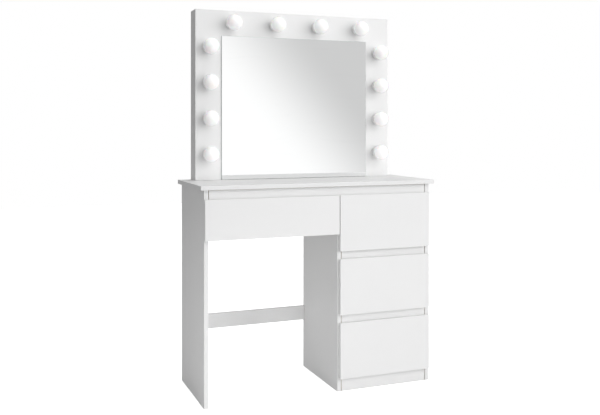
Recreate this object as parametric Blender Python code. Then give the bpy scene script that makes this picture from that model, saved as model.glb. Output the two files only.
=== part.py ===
"""Vanity table with a mirror box and round bulbs, as separate named pieces.

Frame: +X to the right as someone faces the table, +Y to the back, +Z up.
The origin is on the floor, under the middle of the desktop. All sizes are in metres.
"""
import math

import bmesh
import bpy
from mathutils import Vector

# ---------------------------------------------------------------- driving dimensions
DESKTOP_WIDTH = 0.900
DESKTOP_DEPTH = 0.350
TABLE_HEIGHT = 0.757
BOARD = 0.015            # carcass boards, desktop and drawer fronts
OVERHANG = 0.015         # desktop past each side panel
PEDESTAL_WIDTH = 0.377   # outside width of the drawer pedestal
EDGE_BREAK = 0.0006      # chamfer on each board's arrises
GAP = 0.0003             # between pieces that touch

TOP_GAP = 0.032          # between the desktop and the drawers under it
FINGER_GAP = 0.028       # between one pedestal drawer and the next
PLINTH_SHOWN = 0.048     # plinth below the lowest drawer
WIDE_FRONT_HEIGHT = 0.140
RAIL_LAP = 0.008         # a rail reaches this far behind each drawer front
RAIL_RECESS = 0.001      # rails sit back from the panels' front edges
FRONT_STANDOFF = 0.001   # drawer fronts stand off the panels' front edges
FRONT_SPLIT_GAP = 0.003  # between the wide front and the pedestal fronts
FRONT_LAP = 0.0025       # the wide front reaches this far over the inner panel
FRONT_REVEAL = 0.006     # the pedestal fronts stop this far short of the right panel's face
GRIP_CUT = 0.007         # finger grip: cut from the top rear arris of each front
GRIP_DROP = 0.014

BOX_SIDE = 0.012         # drawer box sides and backs
BOX_BOTTOM = 0.003       # hardboard drawer bottoms
BOX_LENGTH = 0.300
BOX_RAISE = 0.016        # drawer box above its front's lower edge
PEDESTAL_BOX_HEIGHT = 0.140
WIDE_BOX_HEIGHT = 0.090
GROOVE_DEPTH = 0.005
GROOVE_RAISE = 0.010     # drawer bottom above the box sides' lower edges
GROOVE_PLAY = 0.0005
RUNNER_SPACE = 0.0125    # beside each drawer box, for its runner

RUNNER_LENGTH = 0.290
RUNNER_HEIGHT = 0.030
RUNNER_DEPTH = 0.0100
RUNNER_METAL = 0.0012
RUNNER_SETBACK = 0.004   # behind the panels' front edges

BACK_BOARD = 0.003       # hardboard backs
BACK_INSET = 0.006       # pedestal back, in from the panels' rear edges

STRETCHER_HEIGHT = 0.055
STRETCHER_LOW = 0.189    # floor to the stretcher's lower edge

MIRROR_WIDTH = 0.800     # mirror box
MIRROR_HEIGHT = 0.637
MIRROR_DEPTH = 0.070
GLASS_WIDTH = 0.600
GLASS_HEIGHT = 0.540
GLASS_LIFT = 0.001       # above the desktop
GLASS = 0.004

BULB_RADIUS = 0.030
BULB_REACH = 0.042       # mirror box face to the middle of a bulb
BULB_SIDE_ROWS = 4
BULB_SIDE_PITCH = 0.133
BULB_SIDE_LOW = 0.098    # desktop to the middle of the lowest side bulb
BULB_TOP_COUNT = 4
BULB_TOP_PITCH = 0.174
NECK_RADIUS = 0.0140
GLOBE_START = 1.25       # the globe's radius where it leaves the neck, in neck radii
HOLDER_RADIUS = 0.022
HOLDER_REACH = 0.008     # holder in front of the mirror box face
HOLDER_BORE_PLAY = 0.0015
HOLDER_HOLE_PLAY = 0.0006
HOLDER_FLOOR = 0.0015    # left between a holder's bore and its strip
CAP_PLAY = 0.0010        # between a bulb's cap and the floor of the bore
STRIP_WIDTH = 0.056
STRIP_THICKNESS = 0.004
ROUND_STEPS = 16
SMOOTH_ANGLE = math.radians(40)

INLET_RADIUS = 0.009
INLET_FLANGE_RADIUS = 0.014
INLET_FLANGE = 0.002
INLET_LENGTH = 0.022
INLET_X = 0.250
INLET_RAISE = 0.060      # desktop to the inlet's middle

# ---------------------------------------------------------------- places worked out from them
FRONT_Y = -DESKTOP_DEPTH / 2
BACK_Y = DESKTOP_DEPTH / 2
EDGE_Y = FRONT_Y + BOARD + FRONT_STANDOFF
DESK_UNDER = TABLE_HEIGHT - BOARD

LEFT_OUT = -DESKTOP_WIDTH / 2 + OVERHANG
LEFT_IN = LEFT_OUT + BOARD
RIGHT_OUT = DESKTOP_WIDTH / 2 - OVERHANG
RIGHT_IN = RIGHT_OUT - BOARD
INNER_LEFT = RIGHT_OUT - PEDESTAL_WIDTH
INNER_RIGHT = INNER_LEFT + BOARD

DRAWER_TOP = DESK_UNDER - TOP_GAP
PEDESTAL_DRAWERS = ("lower_drawer", "middle_drawer", "upper_drawer")
FRONT_HEIGHT = (DRAWER_TOP - PLINTH_SHOWN - 2 * FINGER_GAP) / len(PEDESTAL_DRAWERS)
FRONT_PITCH = FRONT_HEIGHT + FINGER_GAP

MIRROR_Y = BACK_Y - MIRROR_DEPTH
MIRROR_TOP = TABLE_HEIGHT + MIRROR_HEIGHT
GLASS_TOP = TABLE_HEIGHT + GLASS_LIFT + GLASS_HEIGHT
SIDE_BULB_X = (MIRROR_WIDTH + GLASS_WIDTH) / 4
TOP_BULB_Z = (MIRROR_TOP + GLASS_TOP) / 2
INSIDE_Y = MIRROR_Y + BOARD + GAP


# ---------------------------------------------------------------- materials
def material(name, colour, roughness, metallic=0.0, glow=0.0):
    mat = bpy.data.materials.new(name)
    mat.use_nodes = True
    mat.diffuse_color = (*colour, 1.0)
    shader = mat.node_tree.nodes["Principled BSDF"]
    shader.inputs["Base Color"].default_value = (*colour, 1.0)
    shader.inputs["Roughness"].default_value = roughness
    shader.inputs["Metallic"].default_value = metallic
    shader.inputs["Emission Color"].default_value = (1.0, 1.0, 1.0, 1.0)
    shader.inputs["Emission Strength"].default_value = glow
    return mat


def white_board():
    return material("white_board", (0.83, 0.83, 0.82), 0.45)


def box_board():
    return material("drawer_box_board", (0.80, 0.80, 0.79), 0.55)


def hardboard():
    return material("white_hardboard", (0.74, 0.74, 0.72), 0.6)


def mirror_silver():
    return material("mirror_silver", (0.90, 0.91, 0.92), 0.02, metallic=1.0)


def opal_bulb():
    return material("opal_bulb", (0.92, 0.92, 0.91), 0.3, glow=0.1)


def holder_plastic():
    return material("holder_plastic", (0.80, 0.80, 0.79), 0.4)


def runner_steel():
    return material("runner_steel", (0.82, 0.82, 0.81), 0.4, metallic=0.1)


def inlet_plastic():
    return material("inlet_plastic", (0.04, 0.04, 0.04), 0.5)


# ---------------------------------------------------------------- making solids
def clear_scene():
    for obj in list(bpy.data.objects):
        bpy.data.objects.remove(obj, do_unlink=True)


def add_object(name, bm, centre, mat, parent=None):
    """Turn a bmesh, modelled about its own centre, into a placed object."""
    bmesh.ops.recalc_face_normals(bm, faces=bm.faces)
    mesh = bpy.data.meshes.new(name)
    bm.to_mesh(mesh)
    bm.free()
    if mat:
        mesh.materials.append(mat)
    obj = bpy.data.objects.new(name, mesh)
    bpy.context.scene.collection.objects.link(obj)
    obj.location = centre
    if parent:
        obj.parent = parent
        obj.location = Vector(centre) - parent.location
    return obj


def break_edges(bm, width):
    bmesh.ops.bevel(bm, geom=list(bm.edges), offset=width, segments=1,
                    profile=0.5, affect="EDGES", clamp_overlap=True)


def board(name, x, y, z, mat, parent=None, edge=EDGE_BREAK):
    """A flat board between the low and high value along each axis."""
    centre = Vector((sum(x) / 2, sum(y) / 2, sum(z) / 2))
    bm = bmesh.new()
    bmesh.ops.create_cube(bm, size=1.0)
    bmesh.ops.scale(bm, vec=(x[1] - x[0], y[1] - y[0], z[1] - z[0]), verts=bm.verts)
    if edge:
        break_edges(bm, edge)
    return add_object(name, bm, centre, mat, parent)


def prism(name, outline, axis, span, mat, parent=None, edge=0.0):
    """An outline, given in the two other axes in order, drawn out along one axis."""
    across = [i for i in range(3) if i != axis]
    bm = bmesh.new()
    ring = []
    for pair in outline:
        place = Vector((0.0, 0.0, 0.0))
        place[axis] = span[0]
        place[across[0]], place[across[1]] = pair
        ring.append(bm.verts.new(place))
    face = bm.faces.new(ring)
    grown = bmesh.ops.extrude_face_region(bm, geom=[face])
    shift = Vector((0.0, 0.0, 0.0))
    shift[axis] = span[1] - span[0]
    moved = [item for item in grown["geom"] if isinstance(item, bmesh.types.BMVert)]
    bmesh.ops.translate(bm, vec=shift, verts=moved)
    if edge:
        bmesh.ops.recalc_face_normals(bm, faces=bm.faces)
        break_edges(bm, edge)
    centre = Vector((0.0, 0.0, 0.0))
    for i in range(3):
        values = [vert.co[i] for vert in bm.verts]
        centre[i] = (min(values) + max(values)) / 2
    bmesh.ops.translate(bm, vec=-centre, verts=bm.verts)
    return add_object(name, bm, centre, mat, parent)


def add_turned(bm, profile, x=0.0, z=0.0):
    """Add a closed solid of revolution about Y. The profile runs (radius, y), tip to tip."""
    rings = []
    for radius, along in profile:
        if radius == 0.0:
            rings.append([bm.verts.new((x, along, z))])
            continue
        ring = []
        for step in range(ROUND_STEPS):
            angle = 2 * math.pi * step / ROUND_STEPS
            ring.append(bm.verts.new((x + radius * math.cos(angle), along,
                                      z + radius * math.sin(angle))))
        rings.append(ring)
    for near, far in zip(rings, rings[1:]):
        for step in range(ROUND_STEPS):
            after = (step + 1) % ROUND_STEPS
            if len(near) == 1:
                bm.faces.new((near[0], far[step], far[after]))
            elif len(far) == 1:
                bm.faces.new((near[step], far[0], near[after]))
            else:
                bm.faces.new((near[step], far[step], far[after], near[after]))


def turned(name, profile, centre, mat):
    """One turned piece, shaded smooth."""
    bm = bmesh.new()
    add_turned(bm, profile)
    obj = add_object(name, bm, centre, mat)
    obj.data.shade_smooth()
    obj.data.set_sharp_from_angle(angle=SMOOTH_ANGLE)
    return obj


def turned_tools(name, profile, places):
    """The same turned shape at every (x, z) place, as one tool for a single cut or join."""
    bm = bmesh.new()
    for x, z in places:
        add_turned(bm, profile, x, z)
    return add_object(name, bm, Vector((0.0, 0.0, 0.0)), None)


def rod_profile(radius, y):
    return [(0.0, y[0]), (radius, y[0]), (radius, y[1]), (0.0, y[1])]


def combine(obj, tool, operation):
    """Cut or join with a hidden tool object."""
    tool.hide_render = True
    tool.display_type = "WIRE"
    step = obj.modifiers.new(tool.name, "BOOLEAN")
    step.operation = operation
    step.solver = "EXACT"
    step.object = tool


def cut(obj, tool):
    combine(obj, tool, "DIFFERENCE")


# ---------------------------------------------------------------- carcass
def make_side_panels(mat):
    """Left, inner and right panels. The inner one is notched for the continuous top rail."""
    upright = (0.0, DESK_UNDER - GAP)
    depth = (EDGE_Y, BACK_Y)
    board("left_side_panel", (LEFT_OUT, LEFT_IN), depth, upright, mat)
    inner = board("inner_side_panel", (INNER_LEFT, INNER_RIGHT), depth, upright, mat)
    right = board("right_side_panel", (RIGHT_IN, RIGHT_OUT), depth, upright, mat)

    notch_back = EDGE_Y + RAIL_RECESS + BOARD + GAP
    notch_low = DRAWER_TOP - RAIL_LAP - GAP
    notch = board("notch_tool", (INNER_LEFT - BOARD, INNER_RIGHT + BOARD),
                  (EDGE_Y - BOARD, notch_back), (notch_low, DESK_UNDER + BOARD), None, edge=0.0)
    cut(inner, notch)

    groove_y = (back_board_y()[0] - GAP, back_board_y()[1] + GAP)
    groove_z = (PLINTH_SHOWN + RAIL_LAP - BOARD - 2 * GAP, DESK_UNDER + BOARD)
    groove = board("back_groove_tool",
                   (INNER_RIGHT - GROOVE_DEPTH - GAP, RIGHT_IN + GROOVE_DEPTH + GAP),
                   groove_y, groove_z, None, edge=0.0)
    cut(inner, groove)
    cut(right, groove)


def back_board_y():
    return (BACK_Y - BACK_INSET - BACK_BOARD, BACK_Y - BACK_INSET)


def make_rails(mat):
    rail_y = (EDGE_Y + RAIL_RECESS, EDGE_Y + RAIL_RECESS + BOARD)
    board("top_front_rail", (LEFT_IN + GAP, RIGHT_IN - GAP), rail_y,
          (DRAWER_TOP - RAIL_LAP, DESK_UNDER - GAP), mat)
    pedestal_x = (INNER_RIGHT + GAP, RIGHT_IN - GAP)
    for name, below in (("upper_drawer_rail", 1), ("lower_drawer_rail", 0)):
        gap_low = PLINTH_SHOWN + below * FRONT_PITCH + FRONT_HEIGHT
        board(name, pedestal_x, rail_y, (gap_low - RAIL_LAP, gap_low + FINGER_GAP + RAIL_LAP), mat)
    plinth_top = PLINTH_SHOWN + RAIL_LAP
    board("plinth_board", pedestal_x, rail_y, (0.0, plinth_top), mat)
    board("pedestal_bottom", pedestal_x, (rail_y[1] + GAP, back_board_y()[0] - GAP),
          (plinth_top - BOARD, plinth_top), mat)


def make_backs(board_mat, back_mat):
    low = PLINTH_SHOWN + RAIL_LAP - BOARD
    board("pedestal_back",
          (INNER_RIGHT - GROOVE_DEPTH + GAP, RIGHT_IN + GROOVE_DEPTH - GAP),
          back_board_y(), (low, DESK_UNDER - GAP), back_mat, edge=0.0)
    board("rear_stretcher", (LEFT_IN + GAP, INNER_LEFT - GAP), (BACK_Y - BOARD, BACK_Y),
          (STRETCHER_LOW, STRETCHER_LOW + STRETCHER_HEIGHT), board_mat)


def make_desktop(mat):
    board("desktop", (-DESKTOP_WIDTH / 2, DESKTOP_WIDTH / 2), (FRONT_Y, BACK_Y),
          (DESK_UNDER, TABLE_HEIGHT), mat)


# ---------------------------------------------------------------- drawers
def drawer_place(kind):
    """The front's sides, lower edge and height, and the free width for the drawer box."""
    split = INNER_LEFT + FRONT_LAP
    if kind == "wide_drawer":
        low = DRAWER_TOP - WIDE_FRONT_HEIGHT
        return (LEFT_OUT, split), low, WIDE_FRONT_HEIGHT, (LEFT_IN, INNER_LEFT), WIDE_BOX_HEIGHT
    low = PLINTH_SHOWN + PEDESTAL_DRAWERS.index(kind) * FRONT_PITCH
    front_x = (split + FRONT_SPLIT_GAP, RIGHT_OUT - FRONT_REVEAL)
    return front_x, low, FRONT_HEIGHT, (INNER_RIGHT, RIGHT_IN), PEDESTAL_BOX_HEIGHT


def front_outline(low, height):
    """Front board seen from the side, with the grip cut along its top rear arris."""
    rear = FRONT_Y + BOARD
    top = low + height
    return [(FRONT_Y, low), (rear, low), (rear, top - GRIP_DROP), (rear - GRIP_CUT, top),
            (FRONT_Y, top)]


def side_outline(outer, inward, low, height):
    """Box side seen from the front, with the groove that holds the drawer bottom."""
    inner = outer + inward * BOX_SIDE
    groove = inner - inward * GROOVE_DEPTH
    groove_low = low + GROOVE_RAISE
    groove_top = groove_low + BOX_BOTTOM + 2 * GROOVE_PLAY
    return [(outer, low), (inner, low), (inner, groove_low), (groove, groove_low),
            (groove, groove_top), (inner, groove_top), (inner, low + height),
            (outer, low + height)]


def make_drawer(kind, front_mat, box_mat, bottom_mat):
    """One drawer: front, two grooved sides, back and bottom, under an empty on its slide axis."""
    front_x, low, height, free_x, box_height = drawer_place(kind)
    carrier = bpy.data.objects.new(kind, None)
    carrier.location = (sum(free_x) / 2, FRONT_Y, low + height / 2)
    bpy.context.scene.collection.objects.link(carrier)

    prism(kind + "_front", front_outline(low, height), 0, front_x, front_mat, carrier,
          edge=EDGE_BREAK)

    box_low = low + BOX_RAISE
    box_x = (free_x[0] + RUNNER_SPACE, free_x[1] - RUNNER_SPACE)
    box_y = (FRONT_Y + BOARD + GAP, FRONT_Y + BOARD + GAP + BOX_LENGTH)
    for side, outer, inward in (("left", box_x[0], 1), ("right", box_x[1], -1)):
        prism(f"{kind}_{side}_side", side_outline(outer, inward, box_low, box_height), 1, box_y,
              box_mat, carrier)

    bottom_low = box_low + GROOVE_RAISE + GROOVE_PLAY
    inside_x = (box_x[0] + BOX_SIDE, box_x[1] - BOX_SIDE)
    board(kind + "_bottom",
          (inside_x[0] - GROOVE_DEPTH + GROOVE_PLAY, inside_x[1] + GROOVE_DEPTH - GROOVE_PLAY),
          box_y, (bottom_low, bottom_low + BOX_BOTTOM), bottom_mat, carrier, edge=0.0)
    board(kind + "_back", (inside_x[0] + GAP, inside_x[1] - GAP), (box_y[1] - BOX_SIDE, box_y[1]),
          (bottom_low + BOX_BOTTOM + GAP, box_low + box_height), box_mat, carrier)


def make_runners(kind, mat):
    """The two cabinet members: folded channels, open towards the drawer box."""
    _, low, _, free_x, _ = drawer_place(kind)
    base = low + BOX_RAISE
    top = base + RUNNER_HEIGHT
    start = EDGE_Y + RUNNER_SETBACK
    for side, wall, inward in (("left", free_x[0], 1), ("right", free_x[1], -1)):
        web = wall + inward * GAP
        lip = web + inward * RUNNER_DEPTH
        inside = web + inward * RUNNER_METAL
        outline = [(web, base), (lip, base), (lip, base + RUNNER_METAL),
                   (inside, base + RUNNER_METAL), (inside, top - RUNNER_METAL),
                   (lip, top - RUNNER_METAL), (lip, top), (web, top)]
        prism(f"{kind}_runner_{side}", outline, 1, (start, start + RUNNER_LENGTH), mat)


# ---------------------------------------------------------------- mirror box and lamps
def bulb_places():
    """Every bulb's (x, z), by name."""
    places = {}
    for side, x in (("left", -SIDE_BULB_X), ("right", SIDE_BULB_X)):
        for row in range(BULB_SIDE_ROWS):
            z = TABLE_HEIGHT + BULB_SIDE_LOW + row * BULB_SIDE_PITCH
            places[f"bulb_{side}_{row + 1}"] = (x, z)
    for column in range(BULB_TOP_COUNT):
        x = (column - (BULB_TOP_COUNT - 1) / 2) * BULB_TOP_PITCH
        places[f"bulb_top_{column + 1}"] = (x, TOP_BULB_Z)
    return places


def make_mirror_box(board_mat, back_mat, glass_mat):
    half = MIRROR_WIDTH / 2
    base = TABLE_HEIGHT + GAP
    front = board("mirror_front_panel", (-half, half), (MIRROR_Y, MIRROR_Y + BOARD),
                  (base, MIRROR_TOP), board_mat)
    hole = rod_profile(HOLDER_RADIUS + HOLDER_HOLE_PLAY, (MIRROR_Y - BOARD, MIRROR_Y + 2 * BOARD))
    cut(front, turned_tools("holder_holes_tool", hole, bulb_places().values()))

    inside_y = (INSIDE_Y, BACK_Y - BACK_BOARD - GAP)
    upright = (base, MIRROR_TOP)
    board("mirror_left_board", (-half, -half + BOARD), inside_y, upright, board_mat)
    board("mirror_right_board", (half - BOARD, half), inside_y, upright, board_mat)
    between = (-half + BOARD + GAP, half - BOARD - GAP)
    board("mirror_top_board", between, inside_y, (MIRROR_TOP - BOARD, MIRROR_TOP), board_mat)
    board("mirror_bottom_board", between, inside_y, (base, base + BOARD), board_mat)

    cover = board("mirror_back_cover", (-half, half), (BACK_Y - BACK_BOARD, BACK_Y), upright,
                  back_mat, edge=0.0)
    inlet_hole = rod_profile(INLET_RADIUS + HOLDER_HOLE_PLAY, (BACK_Y - BOARD, BACK_Y + BOARD))
    cut(cover, turned_tools("inlet_hole_tool", inlet_hole, [inlet_place()]))

    board("mirror_glass", (-GLASS_WIDTH / 2, GLASS_WIDTH / 2),
          (MIRROR_Y - GAP - GLASS, MIRROR_Y - GAP),
          (TABLE_HEIGHT + GLASS_LIFT, GLASS_TOP), glass_mat)


def inlet_place():
    return INLET_X, TABLE_HEIGHT + INLET_RAISE


def make_power_inlet(mat):
    """Round socket for a supply cord: inside the box, with its flange against the cover."""
    flange_y = (BACK_Y - BACK_BOARD - GAP - INLET_FLANGE, BACK_Y - BACK_BOARD - GAP)
    pin_radius = INLET_RADIUS / 3
    profile = [(0.0, BACK_Y - INLET_LENGTH), (INLET_RADIUS, BACK_Y - INLET_LENGTH),
               (INLET_RADIUS, flange_y[0]), (INLET_FLANGE_RADIUS, flange_y[0]),
               (INLET_FLANGE_RADIUS, flange_y[1]), (INLET_RADIUS, flange_y[1]),
               (INLET_RADIUS, BACK_Y), (pin_radius, BACK_Y),
               (pin_radius, BACK_Y - INLET_LENGTH / 2), (0.0, BACK_Y - INLET_LENGTH / 2)]
    x, z = inlet_place()
    turned("power_inlet", profile, Vector((x, 0.0, z)), mat)


def make_lampholder_strip(mat):
    """One strip, up both sides and along the top, with a holder standing on it at each bulb."""
    strip_y = (MIRROR_Y + BOARD + 2 * GAP, MIRROR_Y + BOARD + 2 * GAP + STRIP_THICKNESS)
    out = SIDE_BULB_X + STRIP_WIDTH / 2
    within = SIDE_BULB_X - STRIP_WIDTH / 2
    top = TOP_BULB_Z + STRIP_WIDTH / 2
    under = TOP_BULB_Z - STRIP_WIDTH / 2
    low = TABLE_HEIGHT + BULB_SIDE_LOW - STRIP_WIDTH / 2
    outline = [(-out, low), (-within, low), (-within, under), (within, under), (within, low),
               (out, low), (out, top), (-out, top)]
    strip = prism("lampholder_strip", outline, 1, strip_y, mat)
    seat = strip_y[0] + STRIP_THICKNESS / 2
    mouth = MIRROR_Y - HOLDER_REACH
    bore = NECK_RADIUS + HOLDER_BORE_PLAY
    holder = [(0.0, seat), (HOLDER_RADIUS, seat), (HOLDER_RADIUS, mouth), (bore, mouth),
              (bore, bore_end()), (0.0, bore_end())]
    holders = turned_tools("holders_tool", holder, bulb_places().values())
    combine(strip, holders, "UNION")


def bore_end():
    return MIRROR_Y + BOARD + 2 * GAP - HOLDER_FLOOR


def bulb_profile():
    """Cap, neck and globe, from the cap's end to the globe's tip, as (radius, y)."""
    middle = MIRROR_Y - BULB_REACH
    cap_end = bore_end() - CAP_PLAY
    neck_y = MIRROR_Y - HOLDER_REACH
    profile = [(0.0, cap_end), (NECK_RADIUS, cap_end), (NECK_RADIUS, neck_y)]
    first = math.asin(NECK_RADIUS * GLOBE_START / BULB_RADIUS)
    steps = ROUND_STEPS // 2
    for step in range(steps):
        angle = first + (math.pi - first) * step / steps
        profile.append((BULB_RADIUS * math.sin(angle), middle + BULB_RADIUS * math.cos(angle)))
    profile.append((0.0, middle - BULB_RADIUS))
    return profile


def make_bulbs(mat):
    for name, (x, z) in bulb_places().items():
        turned(name, bulb_profile(), Vector((x, 0.0, z)), mat)


# ---------------------------------------------------------------- the whole table
def main():
    clear_scene()
    white = white_board()
    box_white = box_board()
    back_white = hardboard()
    steel = runner_steel()

    make_desktop(white)
    make_side_panels(white)
    make_rails(white)
    make_backs(white, back_white)
    for kind in ("wide_drawer",) + PEDESTAL_DRAWERS:
        make_drawer(kind, white, box_white, back_white)
        make_runners(kind, steel)

    make_mirror_box(white, back_white, mirror_silver())
    make_lampholder_strip(holder_plastic())
    make_bulbs(opal_bulb())
    make_power_inlet(inlet_plastic())


main()
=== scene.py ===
"""Finished look of the vanity table with a mirror box and round lamps.

Sizes are in metres, +X is to the right as someone faces the table, +Y is the back and +Z is up.
Every piece takes its place from the boxes of the frame's nodes, and rides on the frame's bodies.
"""
import math
from contextlib import contextmanager

import bmesh
import bpy
from bpy.props import FloatProperty, FloatVectorProperty, PointerProperty
from bpy.types import Operator, Panel, PropertyGroup
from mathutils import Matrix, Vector


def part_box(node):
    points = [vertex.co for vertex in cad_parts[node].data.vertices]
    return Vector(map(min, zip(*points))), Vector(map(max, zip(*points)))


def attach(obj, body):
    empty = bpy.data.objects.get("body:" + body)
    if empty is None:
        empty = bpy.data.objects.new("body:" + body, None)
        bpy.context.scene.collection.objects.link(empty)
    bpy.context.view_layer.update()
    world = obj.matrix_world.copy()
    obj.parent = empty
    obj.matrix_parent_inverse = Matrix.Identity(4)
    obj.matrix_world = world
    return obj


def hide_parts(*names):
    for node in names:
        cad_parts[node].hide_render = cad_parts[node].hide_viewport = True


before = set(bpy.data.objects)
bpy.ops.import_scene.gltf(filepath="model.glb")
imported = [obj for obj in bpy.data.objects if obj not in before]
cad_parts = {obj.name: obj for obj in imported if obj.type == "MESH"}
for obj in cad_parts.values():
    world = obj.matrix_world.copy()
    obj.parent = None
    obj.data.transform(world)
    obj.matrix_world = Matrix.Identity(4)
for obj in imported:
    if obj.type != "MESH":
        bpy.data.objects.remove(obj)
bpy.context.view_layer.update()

bl_info = {
    "name": "Vanity table",
    "version": (1, 0, 0),
    "blender": (4, 5, 0),
    "location": "View3D > Sidebar > Vanity",
    "description": "Builds the finished look of a vanity table with a mirror and round lamps",
    "category": "Object",
}

DRAWERS = ("wide_drawer", "lower_drawer", "middle_drawer", "upper_drawer")
SIDES = ("left", "right")
LAMPS = tuple(f"{group}_{number}" for group in ("left", "right", "top") for number in (1, 2, 3, 4))
FLAT_ANGLE = math.radians(35)
QUARTER = math.pi / 2


# ---------------------------------------------------------------- what a user would change
def length(label, note, default):
    return FloatProperty(name=label, description=note, default=default, min=0.0, precision=5,
                         subtype="DISTANCE", unit="LENGTH")


def colour(label, note, default):
    return FloatVectorProperty(name=label, description=note, default=default, size=3, min=0.0,
                               max=1.0, subtype="COLOR")


def share(label, note, default, top=1.0):
    return FloatProperty(name=label, description=note, default=default, min=0.0, max=top)


def power(label, note, default):
    return FloatProperty(name=label, description=note, default=default, min=0.0,
                         subtype="POWER", unit="POWER")


class VanityBoardSettings(PropertyGroup):
    """Faced boards, their edge bands and their raw core."""
    face: colour("Face", "Foil on the boards' faces", (0.83, 0.83, 0.83))
    face_roughness: share("Face roughness", "Sheen of the foil", 0.44)
    band: colour("Edge band", "Band glued round the boards' edges", (0.82, 0.82, 0.82))
    core: colour("Core", "Pressed chips behind the foil", (0.46, 0.37, 0.26))
    band_thickness: length("Band thickness", "Seen as a seam round each face", 0.0008)
    arris: length("Arris", "Rounding of the bands' corners", 0.0005)
    seam: length("Seam", "Width and depth of the glue line beside the band", 0.00010)
    joint: length("Joint", "Play at the rails' ends and under the desktop", 0.0014)
    box_foil: colour("Drawer box foil", "Foil on the drawer boxes", (0.79, 0.79, 0.78))
    paint: colour("Hardboard paint", "Painted side of the thin hardboards", (0.76, 0.76, 0.745))
    fibre: colour("Hardboard fibre", "Raw side of the thin hardboards", (0.33, 0.20, 0.11))


class VanityMetalSettings(PropertyGroup):
    """Runners, fittings and their small plastic pieces."""
    runner: colour("Runner coat", "Powder coat on the runners", (0.80, 0.80, 0.79))
    steel: colour("Screws", "Zinc plated steel", (0.60, 0.61, 0.62))
    zinc: colour("Cams", "Cast zinc", (0.50, 0.51, 0.53))
    brass: colour("Lamp caps", "Nickel plated brass", (0.72, 0.68, 0.60))
    nylon: colour("Rollers", "Natural nylon", (0.86, 0.86, 0.83))
    bumper: colour("Bumpers", "Soft clear bumpers", (0.82, 0.84, 0.84))
    fold: length("Fold radius", "Outer radius of the folds in the runners", 0.0014)


class VanityMirrorSettings(PropertyGroup):
    """Mirror glass."""
    silver: colour("Silver", "Reflection of the silvered face", (0.93, 0.935, 0.935))
    edge: colour("Glass edge", "Polished edge of the glass", (0.40, 0.46, 0.44))
    backing: colour("Backing", "Paint behind the silver", (0.36, 0.38, 0.39))
    arris: length("Ground arris", "Narrow flat ground on the edges of the glass", 0.0005)


class VanityLampSettings(PropertyGroup):
    """Round lamps and their holders."""
    globe: colour("Globe", "Opal globe", (0.93, 0.93, 0.925))
    glow: share("Glow", "Light that the opal globe gives off", 0.18, top=5.0)
    collar: colour("Collar", "Moulded neck and holder", (0.82, 0.82, 0.815))
    black: colour("Inlet", "Moulded supply socket", (0.025, 0.025, 0.027))


class VanityStageSettings(PropertyGroup):
    """Camera, light and floor."""
    camera_place: FloatVectorProperty(name="Camera", description="Where the camera stands",
                                      default=(-1.1058, -2.7583, 0.9553), size=3,
                                      subtype="TRANSLATION", unit="LENGTH")
    camera_turn: FloatProperty(name="Turn", description="The camera's turn to the right",
                               default=math.radians(21.41), subtype="ANGLE", unit="ROTATION")
    lens: FloatProperty(name="Lens", description="Focal length in millimetres", default=47.3,
                        min=1.0)
    drop: FloatProperty(name="Drop", description="Downward shift of the picture", default=0.134)
    key_power: power("Key light", "Power of the soft front light", 186.0)
    top_power: power("Top light", "Power of the light overhead", 60.0)
    low_power: power("Low fill", "Power of the fill from the front left", 0.95)
    back_power: power("Back light", "Power of the light behind", 90.0)
    sky: share("Sky", "Even light from all round", 0.385, top=5.0)
    floor: colour("Floor", "Plain pale floor", (0.50, 0.50, 0.50))
    floor_glow: share("Floor glow", "Lift of the floor's tone for the eye", 0.75, top=5.0)
    grey_card: share("Grey card", "Grey half of what shiny things reflect", 0.655)
    dark_card: share("Dark card", "What shiny things reflect from behind", 0.22)


# ---------------------------------------------------------------- selecting and editing
def pick(obj):
    """Select one object alone and make it the active one."""
    bpy.ops.object.select_all(action="DESELECT")
    obj.select_set(True)
    bpy.context.view_layer.objects.active = obj


@contextmanager
def editing(obj):
    """Edit mode on one object, starting with nothing selected."""
    pick(obj)
    bpy.ops.object.mode_set(mode="EDIT")
    bpy.ops.mesh.select_all(action="DESELECT")
    yield
    bpy.ops.object.mode_set(mode="OBJECT")


def choose(obj, kind, test):
    """In edit mode, select the faces or edges that pass a test, and nothing else."""
    bpy.ops.mesh.select_all(action="DESELECT")
    bpy.context.tool_settings.mesh_select_mode = (False, kind == "EDGE", kind == "FACE")
    shape = bmesh.from_edit_mesh(obj.data)
    found = 0
    for part in (shape.faces if kind == "FACE" else shape.edges):
        if test(part):
            part.select_set(True)
            found += 1
    bmesh.update_edit_mesh(obj.data)
    if not found:
        raise RuntimeError(f"{obj.name}: no {kind.lower()} passes the test")


def middle(part):
    """Middle of an edge or a face in edit mode."""
    return sum((vert.co for vert in part.verts), Vector()) / len(part.verts)


def near(value, target, slack=0.00002):
    return abs(value - target) < slack


def set_place(obj, place=(0.0, 0.0, 0.0), turn=(0.0, 0.0, 0.0), scale=(1.0, 1.0, 1.0)):
    """Put an object's turn, scale and place into its mesh."""
    obj.location, obj.rotation_euler, obj.scale = place, turn, scale
    pick(obj)
    bpy.ops.object.transform_apply(location=True, rotation=True, scale=True)


def face_outwards(obj):
    with editing(obj):
        bpy.ops.mesh.select_all(action="SELECT")
        bpy.ops.mesh.normals_make_consistent(inside=False)


def copy_of(obj, name, place=(0.0, 0.0, 0.0), turn=(0.0, 0.0, 0.0), mirrored=False):
    """A copy with its own mesh, turned, placed and, if asked, mirrored across X first."""
    pick(obj)
    bpy.ops.object.duplicate(linked=False)
    made = bpy.context.object
    made.name = made.data.name = name
    if mirrored:
        set_place(made, scale=(-1.0, 1.0, 1.0))
        face_outwards(made)
    set_place(made, place, turn)
    return made


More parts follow.
